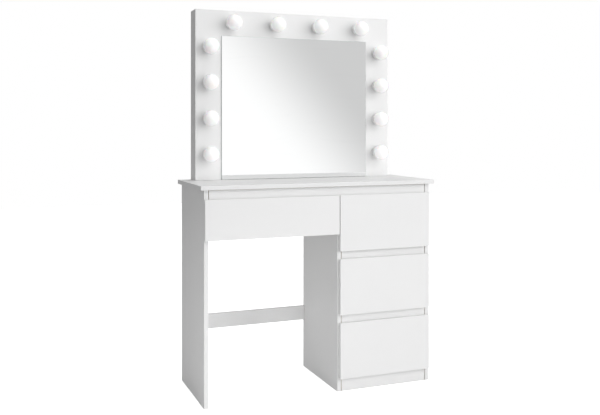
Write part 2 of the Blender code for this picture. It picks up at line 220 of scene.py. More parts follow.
def join(name, pieces):
    """Join loose pieces of one kind into one object."""
    pick(pieces[0])
    for piece in pieces:
        piece.select_set(True)
    if len(pieces) > 1:
        bpy.ops.object.join()
    made = bpy.context.object
    made.name = made.data.name = name
    return made


def drop(*pieces):
    """Remove the models that copies were made from."""
    for piece in pieces:
        bpy.data.objects.remove(piece, do_unlink=True)


def apply_step(obj, kind, **settings):
    """Add one modifier with its settings and apply it."""
    step = obj.modifiers.new(kind.lower(), kind)
    for key, value in settings.items():
        setattr(step, key, value)
    pick(obj)
    bpy.ops.object.modifier_apply(modifier=step.name)


def cut_away(obj, cutter):
    """Cut with a closed tool, whose own finish lines the cut, then remove the tool."""
    apply_step(obj, "BOOLEAN", operation="DIFFERENCE", solver="EXACT", object=cutter,
               material_mode="TRANSFER")
    drop(cutter)


def dress(obj, *finishes):
    """Give a piece its finishes, in the order of its material slots."""
    obj.data.materials.clear()
    for name in finishes:
        obj.data.materials.append(finish(name))


def paint(obj, slot, test):
    """Give the polygons that pass a test the finish in that slot."""
    for polygon in obj.data.polygons:
        if test(polygon):
            polygon.material_index = slot


def settle(obj, body, stands_for=()):
    """Shade a finished piece and hand it to its body."""
    pick(obj)
    bpy.ops.object.shade_smooth_by_angle(angle=FLAT_ANGLE)
    apply_step(obj, "WEIGHTED_NORMAL", mode="FACE_AREA", weight=100, keep_sharp=True)
    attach(obj, body)
    if stands_for:
        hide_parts(*stands_for)


# ---------------------------------------------------------------- starting shapes
def add_shape(name, primitive, **settings):
    """Add a primitive alone, name it and put its place and scale into its mesh."""
    bpy.ops.object.select_all(action="DESELECT")
    primitive(**settings)
    made = bpy.context.object
    made.name = made.data.name = name
    bpy.ops.object.transform_apply(location=True, rotation=True, scale=True)
    return made


def block(name, low, high):
    """A cube primitive drawn to its size."""
    low, high = Vector(low), Vector(high)
    return add_shape(name, bpy.ops.mesh.primitive_cube_add, size=1.0,
                     location=(low + high) / 2, scale=high - low)


def turned(name, profile, steps):
    """A turned piece about Z: a circle drawn out from ring to ring, and closed at both ends.

    The profile runs from end to end as (radius, height).
    """
    made = add_shape(name, bpy.ops.mesh.primitive_circle_add, vertices=steps,
                     radius=profile[0][0], location=(0.0, 0.0, profile[0][1]))
    with editing(made):
        bpy.ops.mesh.select_all(action="SELECT")
        for (radius, height), (next_radius, next_height) in zip(profile, profile[1:]):
            bpy.ops.mesh.extrude_region_move(
                TRANSFORM_OT_translate={"value": (0.0, 0.0, next_height - height)})
            grow = next_radius / radius
            bpy.ops.transform.resize(value=(grow, grow, 1.0),
                                     center_override=(0.0, 0.0, next_height))
        bpy.ops.mesh.select_all(action="SELECT")
        bpy.ops.mesh.fill_holes(sides=0)
        bpy.ops.mesh.normals_make_consistent(inside=False)
    return made


def arc(hub, radius, start, end, steps):
    """Points (radius, height) on an arc, whose angles in degrees run from straight out."""
    points = []
    for step in range(steps + 1):
        angle = math.radians(start + (end - start) * step / steps)
        points.append((hub[0] + radius * math.cos(angle), hub[1] + radius * math.sin(angle)))
    return points


def fold(obj, test, reach):
    """Draw an edge of an upright sheet out along X."""
    with editing(obj):
        choose(obj, "EDGE", test)
        bpy.ops.mesh.extrude_region_move(TRANSFORM_OT_translate={"value": (reach, 0.0, 0.0)})


def upright_sheet(name, x, y, z):
    """A flat sheet that stands at x and faces +X."""
    made = add_shape(name, bpy.ops.mesh.primitive_plane_add, size=1.0)
    set_place(made, turn=(0.0, QUARTER, 0.0))
    set_place(made, place=(x, sum(y) / 2, sum(z) / 2), scale=(1.0, y[1] - y[0], z[1] - z[0]))
    return made


def thicken(obj, thickness, radius):
    """Round the folds of a sheet, which run along Y, and give it its thickness."""
    round_corners(obj, radius, lambda edge: len(edge.link_faces) == 2, segments=4)
    apply_step(obj, "SOLIDIFY", thickness=thickness, offset=1.0, use_even_offset=True)


# ---------------------------------------------------------------- shader nodes
def add_node(tree, kind, inputs=None, **settings):
    """One shader node, its settings, and its inputs as values or as sockets to link."""
    made = tree.nodes.new("ShaderNode" + kind)
    for key, value in settings.items():
        setattr(made, key, value)
    for key, value in (inputs or {}).items():
        if isinstance(value, bpy.types.NodeSocket):
            tree.links.new(value, made.inputs[key])
        else:
            made.inputs[key].default_value = value
    return made


def blend(tree, factor, first, second):
    """Mix two colours, each a socket or a value."""
    made = add_node(tree, "Mix", {0: factor}, data_type="RGBA")
    for index, value in ((6, first), (7, second)):
        if isinstance(value, bpy.types.NodeSocket):
            tree.links.new(value, made.inputs[index])
        else:
            made.inputs[index].default_value = (*value, 1.0)
    return made.outputs[2]


def math_node(tree, operation, first, second=0.0, third=0.0):
    return add_node(tree, "Math", {0: first, 1: second, 2: third},
                    operation=operation).outputs[0]


def map_range(tree, value, start, end, low=0.0, high=1.0, smooth=False):
    """Map a value from one range to another."""
    kind = "SMOOTHSTEP" if smooth else "LINEAR"
    return add_node(tree, "MapRange",
                    {"Value": value, "From Min": start, "From Max": end, "To Min": low,
                     "To Max": high}, interpolation_type=kind).outputs["Result"]


def noise(tree, place, scale, detail=3.0, distortion=0.0):
    return add_node(tree, "TexNoise",
                    {"Vector": place, "Scale": scale, "Detail": detail,
                     "Distortion": distortion}).outputs["Fac"]


def new_group(name, takes, gives):
    """An empty shader node group. takes holds (label, default), gives (label, kind)."""
    tree = bpy.data.node_groups.new(name, "ShaderNodeTree")
    tree.interface.new_socket("Place", in_out="INPUT", socket_type="NodeSocketVector")
    for label, default in takes:
        kind = "NodeSocketFloat" if isinstance(default, float) else "NodeSocketColor"
        socket = tree.interface.new_socket(label, in_out="INPUT", socket_type=kind)
        socket.default_value = default
    for label, kind in gives:
        tree.interface.new_socket(label, in_out="OUTPUT", socket_type="NodeSocket" + kind)
    inner = tree.nodes.new("NodeGroupInput")
    outer = tree.nodes.new("NodeGroupOutput")
    return tree, inner.outputs, outer.inputs


def surface_group():
    """Fine skin, slow ripple, tone drift and touch marks, for any smooth made surface."""
    tree, takes, gives = new_group(
        "Made surface",
        [("Skin scale", 900.0), ("Ripple scale", 14.0), ("Skin share", 0.4)],
        [("Height", "Float"), ("Tone", "Float"), ("Touch", "Float")])
    skin = noise(tree, takes["Place"], takes["Skin scale"], detail=2.0)
    ripple = noise(tree, takes["Place"], takes["Ripple scale"], detail=1.0)
    skin_part = math_node(tree, "MULTIPLY", skin, takes["Skin share"])
    tree.links.new(math_node(tree, "ADD", ripple, skin_part), gives["Height"])
    tone = noise(tree, takes["Place"], 5.0, detail=4.0, distortion=0.4)
    tree.links.new(map_range(tree, tone, 0.3, 0.7), gives["Tone"])
    touch = noise(tree, takes["Place"], 22.0, detail=6.0, distortion=1.2)
    tree.links.new(map_range(tree, touch, 0.45, 0.75, smooth=True), gives["Touch"])
    return tree


def dust_group():
    """Thin dust on what faces up, as a mask."""
    tree, takes, gives = new_group("Settled dust", [("Amount", 0.1)], [("Mask", "Float")])
    geometry = add_node(tree, "NewGeometry")
    upward = add_node(tree, "SeparateXYZ", {"Vector": geometry.outputs["Normal"]})
    facing = map_range(tree, upward.outputs["Z"], 0.6, 1.0)
    specks = map_range(tree, noise(tree, takes["Place"], 60.0, detail=8.0), 0.4, 0.8)
    laid = math_node(tree, "MULTIPLY", facing, specks)
    tree.links.new(math_node(tree, "MULTIPLY", laid, takes["Amount"]), gives["Mask"])
    return tree


def rub_group():
    """Where corners are rubbed by handling, as a mask."""
    tree, takes, gives = new_group("Rubbed corners", [("Amount", 0.3)], [("Mask", "Float")])
    geometry = add_node(tree, "NewGeometry")
    rounded = add_node(tree, "Bevel", {"Radius": 0.0012}, samples=4)
    same = add_node(tree, "VectorMath",
                    {0: rounded.outputs["Normal"], 1: geometry.outputs["Normal"]},
                    operation="DOT_PRODUCT")
    corner = map_range(tree, same.outputs["Value"], 0.995, 0.85)
    patchy = map_range(tree, noise(tree, takes["Place"], 35.0, detail=5.0), 0.42, 0.68)
    rubbed = math_node(tree, "MULTIPLY", corner, patchy)
    tree.links.new(math_node(tree, "MULTIPLY", rubbed, takes["Amount"]), gives["Mask"])
    return tree


def chips_group():
    """Pressed wood chips, cut through."""
    tree, takes, gives = new_group("Pressed chips", [("Core", (0.5, 0.36, 0.21, 1.0))],
                                   [("Color", "Color"), ("Height", "Float")])
    stretch = add_node(tree, "Mapping",
                       {"Vector": takes["Place"], "Scale": (260.0, 260.0, 620.0)})
    chips = add_node(tree, "TexVoronoi", {"Vector": stretch.outputs[0], "Scale": 1.0})
    grain = noise(tree, takes["Place"], 1400.0, detail=4.0)
    split = add_node(tree, "SeparateColor", {"Color": chips.outputs["Color"]})
    dark = blend(tree, 0.55, (0.16, 0.09, 0.04), takes["Core"])
    pale = blend(tree, 0.55, (0.80, 0.66, 0.46), takes["Core"])
    flake = blend(tree, split.outputs[0], dark, pale)
    tree.links.new(blend(tree, map_range(tree, grain, 0.3, 0.7, 0.0, 0.35), flake, dark),
                   gives["Color"])
    tree.links.new(chips.outputs["Distance"], gives["Height"])
    return tree


GROUPS = {"surface": surface_group, "dust": dust_group, "rub": rub_group, "chips": chips_group}
MADE_GROUPS = {}


def use_group(tree, name, **inputs):
    """Place a shared node group, built the first time that it is used."""
    if name not in MADE_GROUPS:
        MADE_GROUPS[name] = GROUPS[name]()
    made = tree.nodes.new("ShaderNodeGroup")
    made.node_tree = MADE_GROUPS[name]
    for label, value in inputs.items():
        socket = made.inputs[label.replace("_", " ")]
        if isinstance(value, bpy.types.NodeSocket):
            tree.links.new(value, socket)
        else:
            socket.default_value = value
    return made.outputs


# ---------------------------------------------------------------- finishes
def start_finish(name, **constants):
    """A material with its constants on the Principled shader, and its object coordinates."""
    material = bpy.data.materials.new(name)
    material.use_nodes = True
    tree = material.node_tree
    shader = tree.nodes["Principled BSDF"]
    for label, value in constants.items():
        shader.inputs[label.replace("_", " ")].default_value = value
    place = add_node(tree, "TexCoord").outputs["Object"]
    return tree, shader, place


def bump(tree, shader, height, distance):
    """Drive the shader's normal with a height in metres."""
    made = add_node(tree, "Bump", {"Height": height, "Distance": distance, "Strength": 1.0})
    tree.links.new(made.outputs["Normal"], shader.inputs["Normal"])


def made_surface(name, base, roughness, skin_scale=900.0, skin_share=0.4, height=0.00003,
                 tone=0.03, touch=0.08, dust=0.0, rub=0.0, dust_tone=(0.62, 0.60, 0.56),
                 rub_tone=(0.70, 0.69, 0.66), **constants):
    """A smooth made surface: tone drift, touch marks, dust, rubbed corners and a fine skin."""
    tree, shader, place = start_finish(name, **constants)
    surface = use_group(tree, "surface", Place=place, Skin_scale=skin_scale,
                        Skin_share=skin_share)
    darker = tuple(value * (1.0 - tone) for value in base)
    shade = blend(tree, surface["Tone"], darker, base)
    rough = map_range(tree, surface["Touch"], 0.0, 1.0, roughness, roughness + touch)
    if rub:
        rubbed = use_group(tree, "rub", Place=place, Amount=rub)["Mask"]
        shade = blend(tree, rubbed, shade, rub_tone)
        rough = math_node(tree, "MULTIPLY_ADD", rubbed, 0.15, rough)
    if dust:
        laid = use_group(tree, "dust", Place=place, Amount=dust)["Mask"]
        shade = blend(tree, laid, shade, dust_tone)
        rough = math_node(tree, "MULTIPLY_ADD", laid, 0.3, rough)
    tree.links.new(shade, shader.inputs["Base Color"])
    tree.links.new(rough, shader.inputs["Roughness"])
    bump(tree, shader, surface["Height"], height)
    return tree, shader, place


def chip_core(name):
    """Raw cut chipboard."""
    tree, shader, place = start_finish(name, Roughness=0.85)
    core = bpy.context.scene.vanity_boards.core
    chips = use_group(tree, "chips", Place=place, Core=(*core, 1.0))
    tree.links.new(chips["Color"], shader.inputs["Base Color"])
    bump(tree, shader, chips["Height"], 0.0003)


def box_foil(name):
    """Matt foil with a faint linen texture, as on wrapped drawer sides."""
    boards = bpy.context.scene.vanity_boards
    tree, shader, place = made_surface(name, boards.box_foil, 0.55, tone=0.03, touch=0.08,
                                       dust=0.12, rub=0.3)
    warp, weft = (add_node(tree, "TexWave", {"Vector": place, "Scale": scale, "Distortion": 1.5,
                                             "Detail": 2.0}, bands_direction=way).outputs["Fac"]
                  for way, scale in (("Z", 190.0), ("Y", 170.0)))
    bump(tree, shader, math_node(tree, "MULTIPLY", warp, weft), 0.00003)


def hardboard_fibre(name):
    """Raw side of hardboard: brown, with the press screen's mesh."""
    boards = bpy.context.scene.vanity_boards
    tree, shader, place = start_finish(name, Roughness=0.8)
    fibres = noise(tree, place, 900.0, detail=6.0, distortion=0.6)
    clouds = noise(tree, place, 26.0, detail=4.0)
    pale = tuple(min(1.0, value * 1.7) for value in boards.fibre)
    brown = blend(tree, map_range(tree, fibres, 0.3, 0.7), boards.fibre, pale)
    tree.links.new(blend(tree, map_range(tree, clouds, 0.3, 0.8, 0.0, 0.4), brown,
                         (0.20, 0.12, 0.07)), shader.inputs["Base Color"])
    screen = add_node(tree, "TexVoronoi", {"Vector": place, "Scale": 700.0,
                                           "Randomness": 0.15})
    bump(tree, shader, screen.outputs["Distance"], 0.0002)


def silvered_glass(name):
    """Front of the mirror: silver behind clean glass, with a trace of wiping marks."""
    mirror = bpy.context.scene.vanity_mirror
    tree, shader, place = start_finish(name, Metallic=1.0)
    wipes = add_node(tree, "Mapping", {"Vector": place, "Rotation": (0.0, 0.5, 0.0),
                                       "Scale": (3.0, 1.0, 26.0)})
    marks = noise(tree, wipes.outputs[0], 1.6, detail=5.0, distortion=0.8)
    haze = map_range(tree, marks, 0.55, 0.85, smooth=True)
    soft = tuple(value * 0.985 for value in mirror.silver)
    tree.links.new(blend(tree, haze, mirror.silver, soft), shader.inputs["Base Color"])
    tree.links.new(map_range(tree, haze, 0.0, 1.0, 0.0, 0.025), shader.inputs["Roughness"])


def opal_globe(name):
    """Opal globe: milky, smooth and softly shining."""
    lamps = bpy.context.scene.vanity_lamps
    made_surface(name, lamps.globe, 0.22, skin_scale=260.0, skin_share=0.3, height=0.00002,
                 tone=0.015, touch=0.05, dust=0.08, Subsurface_Weight=0.25,
                 Subsurface_Scale=0.008, Coat_Weight=0.35, Coat_Roughness=0.08,
                 Emission_Color=(1.0, 1.0, 1.0, 1.0), Emission_Strength=lamps.glow)


def pale_floor(name):
    """Plain pale floor, lighter to the eye than to what stands on it."""
    stage = bpy.context.scene.vanity_stage
    tree, shader, place = start_finish(name, Roughness=0.9,
                                       Emission_Color=(1.0, 1.0, 1.0, 1.0))
    seen = add_node(tree, "LightPath").outputs["Is Camera Ray"]
    clouds = map_range(tree, noise(tree, place, 0.8), 0.3, 0.7)
    tone = blend(tree, clouds, (0.86, 0.86, 0.86), (0.85, 0.85, 0.85))
    tree.links.new(blend(tree, seen, stage.floor, tone), shader.inputs["Base Color"])
    tree.links.new(math_node(tree, "MULTIPLY", seen, stage.floor_glow),
                   shader.inputs["Emission Strength"])


# Smooth made surfaces: settings, colour, roughness and what made_surface takes
PLAIN_FINISHES = {
    "board_face": ("boards", "face", "face_roughness", dict(     # satin, with a fine pearl
        skin_scale=1100.0, skin_share=0.25, height=0.00004, tone=0.012, touch=0.07, dust=0.10,
        rub=0.25)),
    "edge_band": ("boards", "band", 0.36, dict(       # a little glossier than the foil
        skin_scale=700.0, skin_share=0.15, tone=0.015, dust=0.08, rub=0.3)),
    "hardboard_paint": ("boards", "paint", 0.62, dict(
        skin_scale=420.0, skin_share=1.0, height=0.00008, tone=0.05, dust=0.15)),
    "glass_edge": ("mirror", "edge", 0.12, dict(      # darker and slightly green
        skin_scale=500.0, height=0.00002, tone=0.12, touch=0.1, Coat_Weight=0.6)),
    "mirror_backing": ("mirror", "backing", 0.5, dict(
        skin_scale=500.0, height=0.00005, tone=0.1)),
    "lamp_plastic": ("lamps", "collar", 0.38, dict(skin_scale=1500.0, skin_share=0.6, rub=0.2)),
    "lamp_cap": ("metal", "brass", 0.28, dict(tone=0.15, touch=0.15, Metallic=1.0)),
    "runner_coat": ("metal", "runner", 0.40, dict(    # powder coat with its orange peel
        skin_scale=520.0, skin_share=1.0, height=0.00006, tone=0.04, touch=0.1, dust=0.15,
        rub=0.6, rub_tone=(0.42, 0.42, 0.43))),
    "nylon": ("metal", "nylon", 0.42, dict(
        tone=0.06, touch=0.1, rub=0.3, Subsurface_Weight=0.15, Subsurface_Scale=0.002)),
    "plated_steel": ("metal", "steel", 0.26, dict(
        skin_scale=1800.0, tone=0.18, touch=0.2, rub=0.5, rub_tone=(0.75, 0.75, 0.74),
        Metallic=1.0)),
    "cast_zinc": ("metal", "zinc", 0.42, dict(
        skin_scale=1300.0, skin_share=1.0, height=0.00008, tone=0.2, touch=0.2, Metallic=1.0)),
    "clear_bumper": ("metal", "bumper", 0.12, dict(
        tone=0.04, touch=0.2, Transmission_Weight=0.7, IOR=1.41)),
    "black_plastic": ("lamps", "black", 0.48, dict(
        skin_share=1.0, height=0.00006, tone=0.3, touch=0.15, dust=0.1, rub=0.3,
        rub_tone=(0.12, 0.12, 0.12))),
}
SPECIAL_FINISHES = (chip_core, box_foil, hardboard_fibre, silvered_glass, opal_globe, pale_floor)


def finish(name):
    """A finish by its name, made the first time that a piece asks for it."""
    if name not in bpy.data.materials:
        if name in PLAIN_FINISHES:
            group, base, roughness, details = PLAIN_FINISHES[name]
            settings = getattr(bpy.context.scene, "vanity_" + group)
            if isinstance(roughness, str):
                roughness = getattr(settings, roughness)
            made_surface(name, getattr(settings, base), roughness, **details)
        else:
            {make.__name__: make for make in SPECIAL_FINISHES}[name](name)
    return bpy.data.materials[name]


# ---------------------------------------------------------------- boards
GAP = 0.0003             # between pieces that touch
CAM_RADIUS = 0.0074
CAM_DEPTH = 0.0125
CAM_REACH = 0.024        # board edge to the middle of a cam
CAM_ROWS = (-0.09, 0.12)           # along Y, where boards meet in depth
DESK_SCREW_ROW = 0.146             # along Y
DESK_SCREWS = (-0.36, -0.12, 0.12, 0.36)
BACK_SCREWS = (0.046, 0.014)       # up from a drawer side's foot, and down from its top
CAM_COVERS = (0.034, 0.022)        # the same, for the covers inside
BUMPERS = (0.02, 0.03)             # the same, on a drawer front
COVER_SCREW_INSET = 0.0075         # from the edge of the mirror box's back cover
COVER_SCREW_START = 0.030          # from its corner to the first screw
HEAD_RADIUS = 0.0036     # screw heads
HEAD_DEPTH = 0.0022
HEAD_FOOT = 0.0018       # radius at the foot of a sunk head's seat
BORE_PLAY = 0.0002
HOLDER_HOLE = 0.0226     # radius of the holes for the lampholders
INLET_HOLE = 0.0096
STRIP_PLATE = 0.004      # thickness of the lampholders' strip
STRIP_WIDTH = 0.056
GRIP_CUT, GRIP_FALL = 0.007, 0.014
TOP_ROUND = 0.0018       # rounding of the drawer boxes' top edges
TURN = {"+x": (0.0, QUARTER, 0.0), "-x": (0.0, -QUARTER, 0.0), "+y": (-QUARTER, 0.0, 0.0),
        "-y": (QUARTER, 0.0, 0.0), "+z": (0.0, 0.0, 0.0), "-z": (math.pi, 0.0, 0.0)}


def centre(node):
    """Middle of a node's box."""
    low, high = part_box(node)
    return (low + high) / 2


def up_and_down(foot, top, steps):
    """One height above a foot and one below a top."""
    return foot + steps[0], top - steps[1]


def is_corner(edge):
    return edge.is_manifold and edge.calc_face_angle() > 1.0


def round_corners(obj, width, test=None, segments=3):
    """Round the edges that pass a test, or all of them."""
    with editing(obj):
        if test:
            choose(obj, "EDGE", test)
        else:
            bpy.ops.mesh.select_all(action="SELECT")
        bpy.ops.mesh.bevel(offset=width, segments=segments, affect="EDGES", clamp_overlap=True)


def seam_faces(obj, thin, boards):
    """Set a glue line into both broad faces, one band's thickness in from their edges."""
    half = boards.seam / 2
    inner = boards.band_thickness - boards.arris - half
    with editing(obj):
        choose(obj, "FACE", lambda face: abs(face.normal[thin]) > 0.999
               and face.calc_area() > 0.0005)
        for thickness, depth in ((inner, 0.0), (half, -half), (half, half)):
            bpy.ops.mesh.inset(thickness=thickness, depth=depth, use_individual=True,
                               use_even_offset=True)


def faced_board(name, node, raw=(), shape=None, ease=(0.0, 0.0)):
    """A faced and banded board in a node's box.

    raw names the sides without a band, such as "-z". shape may cut the plain block first.
    ease draws in both ends along X and the top, which leaves the joint's thin shadow.
    """
    boards = bpy.context.scene.vanity_boards
    low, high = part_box(node)
    low, high = low + Vector((ease[0], 0.0, 0.0)), high - Vector((ease[0], 0.0, ease[1]))
    size = high - low
    thin = min(range(3), key=lambda axis: size[axis])
    made = block(name, low, high)
    if shape:
        shape(made, low, high)
    round_corners(made, boards.arris)
    seam_faces(made, thin, boards)
    dress(made, "board_face", "edge_band", "chip_core")
    rims = [(axis, way) for axis in range(3) if axis != thin for way in (-1, 1)
            if ("+" if way > 0 else "-") + "xyz"[axis] not in raw]

    def from_rim(place):
        return min(((high[axis] - place[axis] if way > 0 else place[axis] - low[axis])
                    for axis, way in rims), default=1.0)

    paint(made, 1, lambda face: abs(face.normal[thin]) < 0.99
          or from_rim(face.center) < boards.band_thickness - boards.seam)
    for side in raw:
        axis = "xyz".index(side[1])
        way = 1 if side[0] == "+" else -1
        paint(made, 2, lambda face: face.normal[axis] * way > 0.7)
    return made


def spread(model, name, places):
    """Copies of a model at each (place, side), joined into one piece."""
    return join(name, [copy_of(model, f"{name}_{number}", place, TURN[side])
                       for number, (place, side) in enumerate(places)])


def bore(obj, radius, depth, places, finish_name="chip_core", foot=None):
    """Bore closed or through holes into a board, all in one cut, narrowing to the foot."""
    foot, mouth = foot or radius, 0.002
    model = turned("drill", [(foot, -depth), (radius, 0.0),
                             (radius + (radius - foot) * mouth / depth, mouth)], 40)
    tool = spread(model, "drills", places)
    drop(model)
    dress(tool, finish_name)
    cut_away(obj, tool)


def sink_heads(obj, places, finish_name="chip_core"):
    """Seats for countersunk screw heads."""
    bore(obj, HEAD_RADIUS + BORE_PLAY, HEAD_DEPTH, places, finish_name, foot=HEAD_FOOT)


def notch(obj, low, high, finish_name="chip_core"):
    """Cut a square notch or groove."""
    tool = block("notch", low, high)
    dress(tool, finish_name)
    cut_away(obj, tool)


def hardboard(node, body, thin):
    """A thin painted board with raw edges. thin is its axis of thickness."""
    made = block(node + "_board", *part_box(node))
    round_corners(made, 0.0002, segments=1)
    dress(made, "hardboard_paint", "hardboard_fibre")
    paint(made, 1, lambda face: abs(face.normal[thin]) < 0.7)
    settle(made, body, [node])


# ---------------------------------------------------------------- small fittings
def cross_slot(obj, width, reach, depth, top):
    """Cut a cross recess into a head that faces up."""
    for across in ((reach, width), (width, reach)):
        tool = block("blade", (-across[0] / 2, -across[1] / 2, top - depth),
                     (across[0] / 2, across[1] / 2, top + depth))
        tool.data.materials.append(obj.data.materials[0])
        cut_away(obj, tool)


# Each fitting stands on the XY plane and faces up: its profile as (radius, height), its steps,
# its finish, and its cross recess as (width, reach, depth, top).
FITTINGS = {
    "cam": ([(CAM_RADIUS, -CAM_DEPTH), (CAM_RADIUS, -0.0006), (CAM_RADIUS - 0.0004, -0.0002),
             (0.0056, -0.0002), (0.0052, -0.0007), (0.0042, -0.0007), (0.0039, -0.0002),
             (0.0010, -0.0002)], 40, "cast_zinc", (0.0011, 0.0066, 0.0022, -0.0002)),
    "sunk_head": ([(0.0017, -HEAD_DEPTH), (HEAD_RADIUS, -0.0003), (HEAD_RADIUS, -0.0001),
                   (0.0008, -0.0001)], 28, "plated_steel", (0.0008, 0.0040, 0.0012, -0.0001)),
    "pan_head": ([(0.0034, 0.0), (0.0034, 0.0004), (0.0031, 0.0010), (0.0023, 0.0014),
                  (0.0008, 0.0015)], 28, "plated_steel", (0.0007, 0.0036, 0.0009, 0.0015)),
    "cam_cover": ([(0.0088, 0.0), (0.0088, 0.0004), (0.0083, 0.0008), (0.0066, 0.0010),
                   (0.0062, 0.0008), (0.0010, 0.0008)], 40, "lamp_plastic", None),
    "bumper": ([(0.0030, 0.0), (0.0030, 0.0003), (0.0027, 0.0006), (0.0018, 0.0008),
                (0.0006, 0.0009)], 28, "clear_bumper", None),
    "roller": ([(0.0026, 0.0), (0.0060, 0.0), (0.0064, 0.0006), (0.0078, 0.0006),
                (0.0085, 0.0012), (0.0085, 0.0053), (0.0078, 0.0059), (0.0064, 0.0059),
                (0.0060, 0.0065), (0.0026, 0.0065)], 48, "nylon", None),
    "roller_pin": ([(0.0025, -0.0010), (0.0025, 0.0066), (0.0021, 0.0070), (0.0008, 0.0071)],
                   28, "plated_steel", None),
}


def fitting(name):
    """The model that a fitting's copies are made from."""
    profile, steps, finish_name, recess = FITTINGS[name]
    made = turned(name, profile, steps)
    dress(made, finish_name)
    if recess:
        cross_slot(made, *recess)
    return made


def cam_places():
    """Every cam of the carcass as node: [(place, side)]."""
    places = {}
    for node, side in (("left_side_panel", "+x"), ("inner_side_panel", "+x"),
                       ("right_side_panel", "-x")):
        low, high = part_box(node)
        x = high.x if side == "+x" else low.x
        places[node] = [((x, y, high.z - CAM_REACH), side) for y in CAM_ROWS]
    for node, z_share in (("top_front_rail", 0.5), ("upper_drawer_rail", 0.5),
                          ("lower_drawer_rail", 0.5), ("plinth_board", 0.38),
                          ("rear_stretcher", 0.5)):
        low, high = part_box(node)
        z = low.z + (high.z - low.z) * z_share
        places[node] = [((x, high.y, z), "+y")
                        for x in (low.x + CAM_REACH, high.x - CAM_REACH)]
    low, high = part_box("pedestal_bottom")
    places["pedestal_bottom"] = [((x, y, low.z), "-z") for y in CAM_ROWS
                                 for x in (low.x + CAM_REACH, high.x - CAM_REACH)]
    return places


def desk_screw_places():
    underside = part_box("desktop")[0].z
    return [((x, DESK_SCREW_ROW, underside), "-z") for x in DESK_SCREWS]


def back_screw_places(kind, side):
    """Screws through one side of a drawer box into its back."""
    low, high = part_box(f"{kind}_{side}_side")
    outer, away = (low.x, "-x") if side == "left" else (high.x, "+x")
    return [((outer, centre(kind + "_back").y, z), away)
            for z in up_and_down(low.z, high.z, BACK_SCREWS)]


def cover_screw_places():
    """Screws round the mirror box's back cover."""
    low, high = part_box("mirror_back_cover")
    inset, start = COVER_SCREW_INSET, COVER_SCREW_START
    rows = []
    for step in range(5):
        z = low.z + start + (high.z - low.z - 2 * start) * step / 4
        rows += [(low.x + inset, z), (high.x - inset, z)]
    for step in range(1, 5):
        x = low.x + (high.x - low.x) * step / 5
        rows += [(x, low.z + inset), (x, high.z - inset)]
    return [((x, high.y, z), "+y") for x, z in rows]


class VANITY_OT_carcass(Operator):
    """Desktop, side panels, rails, plinth, pedestal bottom, its back and the rear stretcher"""
    bl_idname = "vanity.carcass"
    bl_label = "Carcass boards"

    def execute(self, context):
        raw_sides = {
            "desktop": (), "left_side_panel": ("-z", "+z"), "inner_side_panel": ("-z", "+z"),
            "right_side_panel": ("-z", "+z"), "top_front_rail": ("-x", "+x", "+z"),
            "upper_drawer_rail": ("-x", "+x"), "lower_drawer_rail": ("-x", "+x"),
            "plinth_board": ("-x", "+x", "-z"), "pedestal_bottom": ("-x", "+x", "-y", "+y"),
            "rear_stretcher": ("-x", "+x"),
        }
        boards = context.scene.vanity_boards
        cams = cam_places()
        for node, raw in raw_sides.items():
            ease = (boards.joint if "-x" in raw and node != "rear_stretcher" else 0.0,
                    boards.joint if node == "top_front_rail" else 0.0)
            board = faced_board(node + "_board", node, raw, ease=ease)
            if node in ("inner_side_panel", "right_side_panel"):
                self.back_groove(board, node)
            if node == "inner_side_panel":
                self.rail_notch(board, node)
            if node in cams:
                bore(board, CAM_RADIUS + BORE_PLAY, CAM_DEPTH, cams[node])
            if node == "desktop":
                sink_heads(board, desk_screw_places())
            settle(board, "carcass", [node])
        hardboard("pedestal_back", "carcass", thin=1)
        return {"FINISHED"}

    @staticmethod
    def back_groove(board, node):
        """Groove that holds the pedestal's back board."""
        back_low, back_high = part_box("pedestal_back")
        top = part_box(node)[1].z
        notch(board, back_low - Vector((2 * GAP, GAP, GAP)),
              (back_high.x + 2 * GAP, back_high.y + GAP, top + GAP))

    @staticmethod
    def rail_notch(board, node):
        """Notch that lets the top front rail run through the inner panel."""
        low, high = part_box(node)
        rail_low, rail_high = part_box("top_front_rail")
        notch(board, (low.x - GAP, low.y - GAP, rail_low.z - GAP),
              (high.x + GAP, rail_high.y + GAP, high.z + GAP))


class VANITY_OT_fittings(Operator):
    """Cams, screws and soft bumpers of the carcass"""
    bl_idname = "vanity.fittings"
    bl_label = "Carcass fittings"

    def execute(self, context):
        cam, sunk, bumper = fitting("cam"), fitting("sunk_head"), fitting("bumper")
        for node, places in cam_places().items():
            settle(spread(cam, node + "_cams", places), "carcass")
        settle(spread(sunk, "desktop_screws", desk_screw_places()), "carcass")
        settle(spread(sunk, "mirror_back_cover_screws", cover_screw_places()), "carcass")
        settle(spread(bumper, "front_bumpers", self.bumper_places()), "carcass")
        drop(cam, sunk, bumper)
        return {"FINISHED"}

    @staticmethod
    def bumper_places():
        """Bumpers near the corners of each drawer front, on the panels' front edges."""
        places = []
        for kind in DRAWERS:
            low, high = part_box(kind + "_front")
            sides = ([("left_side_panel", 0.5)] if kind == "wide_drawer" else
                     [("inner_side_panel", 0.72), ("right_side_panel", 0.3)])
            for panel, across in sides:
                panel_low, panel_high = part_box(panel)
                x = panel_low.x + (panel_high.x - panel_low.x) * across
                places += [((x, panel_low.y, z), "-y")
                           for z in up_and_down(low.z, high.z, BUMPERS)]
        return places


